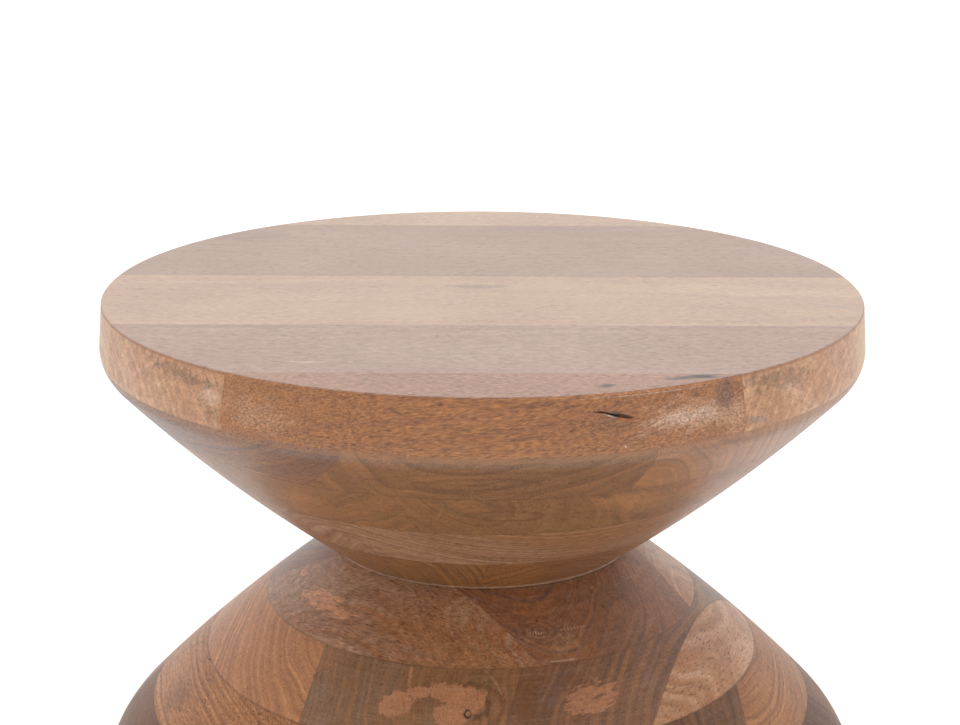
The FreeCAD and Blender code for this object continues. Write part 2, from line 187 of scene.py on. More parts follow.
class Studio(bpy.types.PropertyGroup):
    """Camera, floor and lights"""

    camera_place: bpy.props.FloatVectorProperty(
        name="Camera place", description="Where the photograph was taken from",
        default=(-0.0053, -1.4242, 0.7061), subtype="TRANSLATION", unit="LENGTH")
    camera_pitch: angle_property("Camera pitch", "How far the camera looks down", 15.84)
    camera_yaw: angle_property("Camera yaw", "How far the camera looks to the left", -0.154)
    camera_roll: angle_property("Camera roll", "How far the camera leans to its left", 0.252)
    focal_length: bpy.props.FloatProperty(
        name="Focal length", description="In millimetres, on a sensor 36 mm wide",
        default=83.67, min=1.0)
    floor_radius: bpy.props.FloatProperty(
        name="Floor radius", description="Radius of the round floor",
        default=14.0, min=1.0, unit="LENGTH")
    front_strength: brightness_property(
        "Front light", "Brightness of the white wall behind the camera", 0.5)
    back_strength: brightness_property("Back light", "Brightness of the white wall behind the table", 1.1)
    ceiling_strength: brightness_property("Ceiling light", "Brightness of the ceiling", 1.0)
    floor_glow: brightness_property("Floor glow", "Light that the white floor gives off by itself", 0.45)


class Wire:
    """A value in a material's node tree. Sums with it add Math nodes."""

    def __init__(self, tree, socket):
        self.tree = tree
        self.socket = socket

    def math(self, operation, first, second):
        return self.tree.add("Math", {"operation": operation}, {0: first, 1: second})

    def __add__(self, other):
        return self.math("ADD", self, other)

    def __sub__(self, other):
        return self.math("SUBTRACT", self, other)

    def __rsub__(self, other):
        return self.math("SUBTRACT", other, self)

    def __mul__(self, other):
        return self.math("MULTIPLY", self, other)

    def __pow__(self, other):
        return self.math("POWER", self, other)

    __radd__ = __add__
    __rmul__ = __mul__

    def fade(self, start, end):
        """From 0 where this value is start to 1 where it is end."""
        return self.tree.add("MapRange", {"interpolation_type": "SMOOTHSTEP"},
                             {"Value": self, "From Min": start, "From Max": end})


class Tree:
    """The node tree of one material."""

    def __init__(self, name):
        self.material = bpy.data.materials.new(name)
        self.material.use_nodes = True
        self.nodes = self.material.node_tree.nodes
        self.links = self.material.node_tree.links
        self.nodes.clear()

    def add(self, kind, settings=None, inputs=None, output=0):
        """Adds a node, sets it up, feeds its inputs and gives one of its outputs."""
        node = self.nodes.new(f"ShaderNode{kind}")
        for name, value in (settings or {}).items():
            setattr(node, name, value)
        for name, value in (inputs or {}).items():
            if isinstance(value, Wire):
                self.links.new(value.socket, node.inputs[name])
            else:
                node.inputs[name].default_value = value
        return Wire(self, node.outputs[output])

    def vector(self, operation, first, second, output=0):
        return self.add("VectorMath", {"operation": operation}, {0: first, 1: second}, output)

    def mix(self, share, first, second, blend="MIX"):
        """A colour between two colours."""
        return self.add("Mix", {"data_type": "RGBA", "blend_type": blend},
                        {"Factor": share, 6: first, 7: second}, output=2)

    def noise(self, place, scale, detail=2.0, roughness=0.5, output=0):
        """Noise with one scale, or with a scale for each coordinate."""
        if isinstance(scale, tuple):
            place = self.vector("MULTIPLY", place, scale)
            scale = 1.0
        return self.add("TexNoise", None, {
            "Vector": place, "Scale": scale, "Detail": detail, "Roughness": roughness}, output)

    def part(self, vector, axis):
        """One coordinate of a vector."""
        return self.add("SeparateXYZ", None, {0: vector}, axis)

    def join(self, x, y, z):
        """A vector from its coordinates."""
        return self.add("CombineXYZ", None, {0: x, 1: y, 2: z})

    def least(self, first, *others):
        """The smallest of some values."""
        for other in others:
            first = first.math("MINIMUM", first, other)
        return first

    def place(self, location=(0, 0, 0), rotation=(0, 0, 0), scale=(1, 1, 1)):
        """Object coordinates as seen from a place on the table, in units of scale."""
        spot = self.add("TexCoord", output="Object")
        return self.add("Mapping", {"vector_type": "TEXTURE"}, {
            "Vector": spot, "Location": location, "Rotation": rotation, "Scale": scale})

    def finish(self, colour, roughness, height, lacquer=None, coat=1.0):
        """The surface, under a share of the lacquer."""
        normal = self.add("Bump", None, {"Strength": BUMP_STRENGTH, "Distance": MM, "Height": height})
        inputs = {"Base Color": colour, "Roughness": roughness, "Normal": normal}
        if lacquer:
            inputs["Coat Weight"] = lacquer.coat_weight * coat
            inputs["Coat Roughness"] = lacquer.coat_roughness
            inputs["Specular IOR Level"] = SPECULAR_LEVEL * coat
        self.add_output(self.add("BsdfPrincipled", None, inputs))

    def add_output(self, surface):
        output = self.nodes.new("ShaderNodeOutputMaterial")
        self.links.new(surface.socket, output.inputs["Surface"])


class Plank(NamedTuple):
    """How one plank was cut from its log, and the colours of its wood."""

    light: str = "chestnut"
    dark: str = "brown"
    shade: float = 1.0
    streak: str = "umber"
    streaks: float = 0.4
    flush: str = "orange"
    flushes: float = 0.3
    pith: tuple = (30, -60)
    ring: float = 9
    rings: float = 0.2
    tilt: float = 3
    pores: float = 0.35
    fibres: float = 0.3
    scuffs: float = 0.0
    band: float = 0.3
    mottle: float = 0.1
    # Colour of the painted sheen on the flat top
    painted_sheen: str = "stone"
    coat: float = 1.0
    contrast: float = 0.15


# Direction of the grain in each layer of boards, in degrees from the table's left-right axis
GRAIN_ANGLES = {
    "tabletop": 0.0, "shoulder": 118.0, "bowl": 65.0, "throat": 22.0, "neck": 100.0,
    "collar": 142.0, "flank": 70.5, "skirt": 98.4, "hip": 30.0, "foot": 150.0,
}

# Shades are brightness factors. Pith places and ring widths are in millimetres, across and through
# the board, and tilts in degrees.
LAYERS = {
    "tabletop": (
        Plank("copper", "chestnut", 1.02, "brown", 0.4, "tan", 0.4, (10, -160), 12, 0.15, -9, 0.35, 0.65,
              painted_sheen="rose", contrast=0.08),
        Plank("sand", "tan", 1.1, "brown", 0.35, "orange", 0.3, (60, -50), 7, 0.3, 1, 0.3, 0.27,
              mottle=0.45, contrast=0.08),
        Plank("straw", "tan", 1.08, "brown", 0.15, "orange", 0.3, (-10, -90), 16, 0.15, 1, 0.3, 0.22,
              painted_sheen="cream", contrast=0.08),
        Plank("tan", "straw", 1.0, "brown", 0.3, "rose", 0.3, (50, 60), 8, 0.2, 1, 0.35, 0.22,
              contrast=0.05),
        Plank("straw", "tan", 1.0, "brown", 0.15, "orange", 0.3, (0, -60), 9, 0.1, 1, 0.3, painted_sheen="cream",
              contrast=0.08),
    ),
    "shoulder": (
        Plank("tan", flushes=0.25),
        Plank("tan", "brown", 0.84, "plum", 0.4, "tan", 0.2, (80, -40), mottle=0.15, contrast=0.03),
        Plank("brown", "olive", 1.0, "umber", 0.3, "tan", 0.15, (0, 90), 14, 0.5, mottle=0.15,
              contrast=0.2),
        Plank("brown", "plum", 1.0, "umber", 0.3, "plum", 0.4, (150, 90), 12, 0.1, fibres=0.45, band=0.9,
              mottle=0.15),
    ),
    "bowl": (
        Plank("chestnut", "brown", 1.0, "olive", 0.4, "tan", 0.25, (60, 40), 8, 0.3, mottle=0.15,
              contrast=0.1),
        Plank("brown", "olive", 1.02, "umber", 0.35, "tan", 0.25, (26, 6), 10, 0.4, mottle=0.2),
        Plank("brown", "olive", 1.06, "umber", 0.3, "tan", 0.3, (0, 70), 12, 0.4, mottle=0.15,
              contrast=0.2),
        Plank(dark="olive", streak="brown", pith=(-60, 30)),
    ),
    "throat": (
        Plank("sand", "brown", 0.84, "umber", 0.3, "tan", 0.4, ring=7, rings=0.3, mottle=0.2,
              contrast=0.0),
        Plank("brown", "chestnut", flush="tan"),
        Plank(dark="olive", flush="tan"),
    ),
    "neck": (
        Plank("copper", "olive", 0.84, "umber", 0.3, "chestnut", 0.4, ring=6, rings=0.4, mottle=0.2,
              contrast=0.2),
        Plank("copper", "olive", 0.84, "umber", 0.3, "chestnut", 0.4, ring=6, rings=0.4, mottle=0.2,
              contrast=0.2),
    ),
    "collar": (
        Plank("sand", "tan", 1.0, "brown", 0.3, coat=0.7),
        Plank("chestnut", "plum", 1.1, "umber", 0.35, "brown", 0.3, (40, 40), 8, 0.3, fibres=0.4,
              scuffs=0.35, mottle=0.3, coat=0.8, contrast=0.05),
        Plank("sand", "chestnut", 0.95, "umber", 0.35, "tan", 0.4, (-50, -40), 7, fibres=0.5, scuffs=0.35,
              mottle=0.4, coat=0.8, contrast=-0.12),
    ),
    "flank": (
        Plank("sand", "tan", 1.07, "chestnut", 0.35, "orange", 0.4, (30, -50), 7, 0.3, 3, 0.6, coat=0.7),
        Plank("brown", "plum", 1.16, "umber", 0.4, "ash", 0.35, (150, -10), 9, 0.25, scuffs=0.25,
              mottle=0.15, coat=0.7, contrast=0.2),
        Plank("brown", "olive", 1.2, "umber", 0.3, "ash", 0.3, (-150, 10), 9, 0.15, scuffs=0.3,
              mottle=0.15, coat=0.7, contrast=0.2),
        Plank("tan", "chestnut", 1.24, "brown", 0.25, "orange", 0.4, (-70, 20), 10, 0.25, coat=0.7),
    ),
    "skirt": (
        Plank("tan", "chestnut", 1.0, "brown", pith=(20, 40), ring=6, rings=0.3, coat=0.5),
        Plank("brown", "umber", flush="chestnut", pith=(100, 0), scuffs=0.3, coat=0.5),
        Plank("brown", "chestnut", 1.0, "umber", 0.3, "ash", 0.2, coat=0.5),
        Plank("tan", "chestnut", 1.06, "brown", 0.45, pith=(-50, 50), ring=7, pores=0.7, fibres=0.4,
              coat=0.5),
    ),
    "hip": (
        Plank("plum", "umber", streaks=0.5, flush="chestnut", pith=(-120, 0), scuffs=0.3, coat=0.35),
        Plank("brown", "plum", flushes=0.25, coat=0.35),
        Plank("plum", flushes=0.25, coat=0.35),
        Plank("sand", "plum", 0.84, flush="rose", pith=(120, 0), scuffs=0.3, coat=0.35),
    ),
    "foot": (
        Plank("tan", "chestnut", 1.0, "brown", 0.3, coat=0.35),
        Plank("brown", "umber", 1.1, flush="tan", coat=0.35),
        Plank("tan", streaks=0.3, flush="rose", coat=0.35),
        Plank(flush="tan", coat=0.35),
    ),
}
PLANKS = {
    f"{layer}_plank_{number}": plank
    for layer, planks in LAYERS.items()
    for number, plank in enumerate(planks, start=1)
}

# Stands last in the place of a mark that lies on the flat top
TOP = "top"


class Mark(NamedTuple):
    """A patch, streak, knot or set of rings at one place of a plank."""

    colour: str
    place: tuple
    size: tuple
    turn: float = 0
    strength: float = 0.7
    ragged: float = 0.8
    soft: float = 0.9
    bow: float = 0
    rings: float = 0
    stripes: float = 0
    swirl: float = 0
    comb: float = 0


# The marks of each plank, in the order in which they cover each other.
# A place is a bearing in degrees and a height in millimetres, or x and y in millimetres on the top.
# Sizes are half a length and half a height in millimetres, and turns are in degrees, anticlockwise
# as seen from outside. Rings and stripes count from the middle to the edge, and a swirl pushes the
# grain aside by so many millimetres.
MARKS = {
    "tabletop_plank_4": (
        Mark("ash", (-172, 158, TOP), (43, 24), -2, 0.45, 0.9, 0.6),
        Mark("brown", (-187, 128, TOP), (15, 4), 0, 0.25, 0.8, 0.6),
    ),
    "tabletop_plank_3": (
        Mark("ash", (-2, 8, TOP), (25, 6), 1, 0.55, 0.6, 0.5),
        Mark("stone", (226, -43, TOP), (14, 5), 3, 0.5, 0.8, 0.6),
    ),
    "tabletop_plank_2": (
        # Top of the table
        Mark("ash", (-159, -97, TOP), (71, 3.4), 0, 0.6, 0.6, 0.5),
        Mark("stone", (-37, -154, TOP), (118, 2.6), 1, 0.4, 0.9, 0.5),
        Mark("cream", (-102, -176, TOP), (14, 3), 0, 0.6, 0.6, 0.5),
        # Rim, from the left
        Mark("cream", (-39.6, 335.2), (10, 8.5), 22, 0.35, 0.9, 0.6),
        Mark("umber", (-39.3, 326.5), (6, 1.6), 12, 0.35, 0.8, 0.6),
        Mark("cream", (-46.5, 338), (18, 0.5), 39, 0.4, 0.3),
        Mark("cream", (-50, 334), (22, 0.5), 38, 0.35, 0.3),
        Mark("cream", (-54.5, 338), (12, 0.5), 38, 0.35, 0.3),
        Mark("olive", (-46, 344.5), (36, 4.5), -3, 0.6, 1.6, 0.6),
        Mark("umber", (-49.3, 344.2), (2.2, 0.8), -40, 0.6, 0.3, 0.8),
        Mark("tan", (40.5, 334), (10, 17), 0, 0.35),
        Mark("cream", (46.6, 337.5), (20, 8), -10, 0.25, 1.3, 0.8),
        Mark("ash", (39.5, 322.9), (11, 3.2), -9, 0.6, 0.8, 0.7),
        Mark("olive", (44, 343.5), (34, 6.5), -5, 0.6, 1.7, 0.6),
        Mark("orange", (52, 334), (24, 9), -6, 0.35, 1.3, 0.8),
    ),
    "tabletop_plank_1": (
        # Top of the table
        Mark("plum", (69, -223, TOP), (11, 6.5), 12, 0.5, 0.6),
        Mark("bark", (70, -223, TOP), (6.4, 4.6), 14, 0.95, 0.6, 0.8, swirl=5),
        Mark("slate", (116, -206, TOP), (20, 4.2), 13, 0.7, 0.8, 0.6, swirl=3),
        Mark("bark", (125, -204, TOP), (12, 5), 13, 0.85, 0.8, 0.7),
        # Rim, from the left
        Mark("sand", (-31, 331), (36, 14), -6, 0.4),
        Mark("umber", (-11.2, 342.3), (6.4, 0.9), -17, 0.6, 0.9, 0.8),
        Mark("umber", (-1.1, 332.4), (35, 1.1), -10, 0.4, 1.2),
        Mark("umber", (-5.6, 337.4), (20, 1), -12, 0.35, 1.2),
        Mark("umber", (6.5, 347), (36, 3.2), -3, 0.3, 1.1, 0.8),
        Mark("umber", (-21.5, 324.3), (9, 0.7), 3, 0.5, 0.8, 0.8),
        Mark("chestnut", (2, 340), (42, 9), -8, 0.4, 1.3),
        Mark("sand", (28, 333.7), (40, 15), -2, 0.75),
        Mark("sand", (35.5, 331), (17, 15), 0, 0.7, 0.7),
        # Painted highlight along the top edge of the rim: a warm line, and a pale reflection just below it
        Mark("orange", (19, 351), (84, 0.8), 0, 0.85, 0.4, 0.6),
        Mark("cream", (22, 349.7), (60, 0.5), 0, 0.4, 0.7, 0.8),
        Mark("cream", (25.5, 333.5), (24, 5.5), 9, 0.4, 1.4, 0.8, bow=0.6, comb=5),
        Mark("cream", (30.5, 334.5), (14, 6), 4, 0.35, 1.4, 0.8, bow=0.5, comb=5),
        Mark("brown", (25.5, 340), (20, 1.4), 16, 0.45, 0.9, bow=-0.5, comb=3),
        Mark("brown", (16.7, 335.5), (16.5, 10.5), -14, 0.75, swirl=2),
        Mark("umber", (17.4, 331), (1, 5), 12, 0.5, 0.8, 0.8),
        Mark("umber", (19.2, 331.8), (0.9, 4.2), -14, 0.4, 0.8, 0.8),
        Mark("umber", (17, 339.4), (12.5, 3), -16, 0.6, 0.8, 0.8),
        Mark("umber", (17.6, 338.8), (11, 2.2), -13, 0.5, 0.7),
        Mark("rust", (18.5, 336.5), (6, 1.1), -8, 0.75, 0.9, 0.6, comb=3),
        Mark("cream", (16.4, 339), (5.8, 0.5), -21, 0.6, 0.5, 0.6),
        # Inside of the crack: partly dark wood, partly painted shade deep in the split
        Mark("bark", (16.4, 340.2), (9.4, 0.7), -18, 0.6, 0.6, 0.7),
        Mark("bark", (18.3, 338.2), (7.2, 1.5), -12, 0.8, 0.7, 0.5),
        Mark("bark", (14.8, 341.6), (4, 0.5), -12, 0.7, 0.5, 0.6),
        Mark("cream", (18.6, 320.6), (0.8, 0.8), 0, 0.9, 0, 0.5),
        Mark("umber", (29.1, 345), (3.4, 1.6), -10, 0.6, 0.5, 0.6, swirl=4),
        Mark("plum", (33.8, 342), (9, 11), 16, 0.6, 0.8, 0.5, swirl=3),
        Mark("umber", (33.8, 342), (8, 10), 16, 0.5, 0.6, 0.8, rings=3),
    ),
    "shoulder_plank_3": (Mark("umber", (-1, 296), (95, 15), 3, 0.45, 0.3, rings=3),),
    "shoulder_plank_2": (Mark("plum", (35.9, 312.5), (27, 4.5), -1, 0.5, 0.9, 0.7),),
    "bowl_plank_1": (Mark("plum", (43.7, 276.8), (20, 6.5), -12, 0.4, 0.9, 0.7),),
    "bowl_plank_2": (
        Mark("umber", (4, 266.5), (62, 14), -2, 0.45, 0.25, rings=3),
        Mark("tan", (25, 270), (38, 14), -10, 0.6, 0.6, comb=3),
        Mark("straw", (-7, 268), (13.5, 0.9), 66, 0.25, 0.3, bow=-1.5),
    ),
    "shoulder_plank_4": (Mark("straw", (-38, 284.5), (30, 1.6), -1, 0.3, 0.5),),
    "bowl_plank_3": (Mark("orange", (-33, 264), (34, 15), 15, 0.35, 0.6, 1),),
    "throat_plank_1": (
        Mark("straw", (-28.1, 242.5), (13, 1.6), 9, 0.25, 0.7),
        Mark("straw", (-23.4, 220.6), (25, 3.2), 10, 0.2, 0.9),
        Mark("straw", (16.5, 247.5), (9, 1), 0, 0.25, 0.6),
    ),
    "collar_plank_3": (
        Mark("straw", (-50, 178.5), (24, 7), -6, 0.2, 1.2),
        Mark("sand", (-2, 170), (36, 8), 0, 0.45, 0.9),
        Mark("ash", (-28, 153.5), (46, 5.5), -7, 0.25, 1.2, 0.8),
        Mark("peach", (-57, 161.3), (20, 4.6), 5, 0.85, 1.1, 0.2, comb=3),
        Mark("peach", (-47, 159.8), (16, 2.8), 0, 0.75, 1.3, 0.3, comb=3),
        Mark("peach", (-76.6, 163.8), (6.5, 1.8), 2, 0.8, 0.6, 0.3),
        Mark("straw", (-5.2, 167.8), (21, 0.5), 2, 0.25, 0.4),
        Mark("straw", (1.5, 156.1), (13, 0.7), -33, 0.2, 0.6, bow=1),
    ),
    "collar_plank_2": (
        Mark("plum", (52, 168), (36, 11), -12, 0.5, 0.9),
        Mark("ash", (18, 158), (34, 9), -4, 0.2, 0.9),
        Mark("umber", (16.9, 160.8), (25, 10), -1, 0.6, 0.25, rings=5, swirl=4),
        Mark("chestnut", (17.2, 165.5), (4.6, 2.1), -5, 0.85, 0.4, 0.4),
        Mark("bark", (16.9, 165.3), (1.5, 0.7), -5, 0.6, 0.4, 0.5),
        Mark("straw", (22.5, 153), (15, 4.8), 6, 0.25, 1.6, 0.7),
        Mark("cream", (15.6, 160.3), (7, 0.9), -8, 0.5, 0.5, 0.6, stripes=4),
        Mark("cream", (27.5, 159.8), (16, 0.8), -2, 0.35, 0.5, 0.7, stripes=7),
        Mark("cream", (21.5, 146.7), (17, 0.55), -1, 0.45, 0.4),
        Mark("salmon", (41.1, 174.5), (3.4, 1), 4, 0.5, 0.8, 0.7),
    ),
    "collar_plank_1": (Mark("cream", (90, 164), (26, 18), 0, 0.4, 0.9),),
    "flank_plank_3": (
        Mark("umber", (-1.5, 129), (36, 20), 0, 0.8, 0.4, rings=4, swirl=5),
        Mark("straw", (3.4, 139), (10, 1.2), -52, 0.4, 0.6, bow=2),
        Mark("salmon", (-17.1, 141), (1.6, 5.4), 12, 0.8, 0.5, 0.5),
        Mark("salmon", (-18.6, 127.3), (11.5, 6.2), 5, 0.9, 0.45, 0.2),
        Mark("salmon", (-13.6, 134), (9, 3.2), 3, 0.9, 0.6, 0.25),
        Mark("salmon", (-7.5, 134.5), (15, 4.8), -3, 0.9, 0.5, 0.2),
        Mark("salmon", (-3.6, 130), (14, 8), 14, 0.9, 0.4, 0.2),
        Mark("salmon", (-6.6, 124.5), (12, 7), 0, 0.9, 0.5, 0.25),
        Mark("brown", (-13.4, 127), (5, 3.2), -8, 0.85, 0.7, 0.4),
        Mark("bark", (-2.9, 125.5), (3.5, 2.7), 0, 0.95, 0.3, 0.5, swirl=2),
        Mark("orange", (-2.8, 125.8), (1.9, 1.4), 0, 0.9, 0.2, 0.5),
    ),
    "flank_plank_2": (
        Mark("umber", (10.2, 129), (16, 24), 0, 0.8),
        Mark("salmon", (24.6, 128.3), (18.5, 6.6), 6, 0.9, 0.9, 0.15, comb=4),
        Mark("brown", (25.8, 128.6), (6.6, 1), 10, 0.85, 0.4, 0.5),
        Mark("plum", (24, 134), (34, 17), 0, 0.3, 0.6, rings=5),
        Mark("chestnut", (10.2, 129), (16, 24), 0, 0.35),
        Mark("ash", (40, 130), (9, 9), 25, 0.2, 1.3, 0.8),
        Mark("straw", (84, 141), (30, 5), 0, 0.3, 0.5, 0.8),
    ),
    "flank_plank_1": (
        Mark("cream", (52.1, 124.7), (19, 0.5), -6, 0.4, 0.4, 0.8),
        Mark("cream", (49.7, 120.3), (18, 0.5), -10, 0.3, 0.4, 0.8),
        Mark("rose", (62, 137), (26, 8), 0, 0.3, 0.9, 0.8),
    ),
    "flank_plank_4": (Mark("chestnut", (-66, 124.5), (1.2, 17), -38, 0.6, 0.3, 0.7, bow=4),),
    "skirt_plank_1": (Mark("salmon", (71.2, 100.4), (25, 6.8), 0, 0.35, 0.6, 0.6),),
    "skirt_plank_4": (
        Mark("plum", (-74, 88), (34, 14), 0, 0.6),
        Mark("umber", (-70, 101), (2.4, 1.3), 0, 0.6, 0.4, 0.6),
        Mark("umber", (-48, 106.5), (2.4, 1.3), 0, 0.6, 0.4, 0.6),
    ),
}
# Half the depth of a mark, in millimetres
MARK_DEPTH = 120
TOP_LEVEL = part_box("tabletop_plank_3")[1].z
FRONT_PLANK = "tabletop_plank_1"
FELT_PADS = ("felt_pad_1", "felt_pad_2", "felt_pad_3", "felt_pad_4")
DOWELS = ("waist_dowel_1", "waist_dowel_2", "waist_dowel_3", "waist_dowel_4")


class Split(NamedTuple):
    """A split in the rim: its bearing and height, half its length, depth and height, and its turn."""

    bearing: float
    height: float
    size: tuple
    turn: float


SPLITS = (
    Split(16.4, 340.2, (8.6, 1.3, 0.45), -18),
    Split(18.3, 338.2, (6.6, 1.5, 1.05), -12),
    Split(14.8, 341.6, (3.4, 0.9, 0.35), -12),
)

# Noise scales per metre, along the grain and across it
SWAY_SCALE = (4, 14)
CURL_SCALE = (30, 70)
BLOTCH_SCALE = (7, 18)
FRAY_SCALE = (80, 260)
SANDING_SCALE = (900, 60, 60)
TURNING_SCALE = 14
# How many times as long as wide the streaks are
FIBRE_LENGTH = 6
PORE_LENGTH = 5
STREAK_LENGTH = 16
# Middle of a noise, and how far apart the noises of two planks are read
MIDDLE = 0.5
SEED_STEP = 7.3
# Marks: how fine a comb is along them, and how many times their size a swirl reaches
COMB_SCALE = 1.5
SWIRL_REACH = 3.0
# Rings: how far the taper of a log counts, and how sharp the end of a year is
TAPER = 0.1
YEAR_END_SHARPNESS = 4
# The painted highlight along the edge of the top, and glue lines, which hardly show in some layers
EDGE_HIGHLIGHT_STRENGTH = 0.6
GLUE_STRENGTH = 0.5
FINE_GLUE_STRENGTH = 0.2
FINE_JOINTS = ("tabletop", "collar")
# Least share of the pores that show, and the shade of the sanding marks
LEAST_PORES = 0.4
SCUFF_SHADE = 1.2
# How much fibres, mottle and turning marks change the light of the wood, and its red, green and blue
FIBRE_RELIEF = 4
MOTTLE_RELIEF = 3
TURNING_RELIEF = 0.3
RELIEF_TINTS = (0.85, 1.0, 1.2)
# Heights in millimetres, and roughnesses
FIBRE_HEIGHT = 0.05
TURNING_HEIGHT = 0.03
DOT_DEPTH = 0.15
PORE_ROUGHNESS = 0.2
FIBRE_ROUGHNESS = 0.1
FELT_ROUGHNESS = 0.85


def layer_of(node):
    return node.split("_")[0]


def reach_across(node, angle):
    """Lowest and highest place of a plank across its grain."""
    across = Vector((-math.sin(angle), math.cos(angle), 0))
    places = [across.dot(vertex.co) for vertex in NODES[node].data.vertices]
    return min(places), max(places)


def surface_point(node, bearing, height):
    """Point of the turned surface of a plank at a bearing and a height."""
    way = Vector((math.sin(bearing), -math.cos(bearing), 0))
    start = way + Vector((0, 0, height))
    found, point, _, _ = NODES[node].ray_cast(start, -way)
    if not found:
        raise RuntimeError(f"{node} has no surface at {math.degrees(bearing):.1f} degrees, {height:.3f} m")
    radius = math.hypot(point.x, point.y)
    return (radius * math.sin(bearing), -radius * math.cos(bearing), height)


def mark_space(tree, node, mark):
    """Coordinates that are 1 long at the mark's edge: along it, into the wood and up, or on the top
    along it, up and into the wood."""
    turn = math.radians(mark.turn)
    length, height = (size * MM for size in mark.size)
    depth = MARK_DEPTH * MM
    if mark.place[-1] == TOP:
        x, y, _ = mark.place
        return tree.place((x * MM, y * MM, TOP_LEVEL), (0, 0, turn), (length, height, depth))
    bearing = math.radians(mark.place[0])
    middle = surface_point(node, bearing, mark.place[1] * MM)
    return tree.place(middle, (0, -turn, bearing), (length, depth, height))


def mark_shape(tree, node, mark, fray):
    """How strongly a mark shows, and how far each point lies from its middle."""
    space = mark_space(tree, node, mark)
    on_top = mark.place[-1] == TOP

    def beside(along, side):
        """A vector along the mark and across it."""
        return (along, side, 0) if on_top else (along, 0, side)

    def wave(places, count):
        return tree.add("Math", {"operation": "COSINE"}, {0: places * (math.tau * count)})

    if mark.bow:
        along = tree.part(space, 0)
        space = tree.vector("ADD", space, tree.join(*beside(0, along * along * mark.bow)))
    if mark.comb:
        fray = tree.noise(space, beside(COMB_SCALE, mark.comb)) - MIDDLE
    reach = tree.vector("LENGTH", space, (0, 0, 0), output=1)
    shape = (reach + fray * (mark.ragged * 2)).fade(1.0, 1.0 - mark.soft)
    if mark.rings:
        shape = shape * wave(reach + fray * 0.2, mark.rings).fade(-0.4, 1.0)
    if mark.stripes:
        stripes = wave(tree.part(space, 0), mark.stripes)
        shape = shape * (stripes + fray * 2).fade(-0.2, 0.6)
    return shape, reach


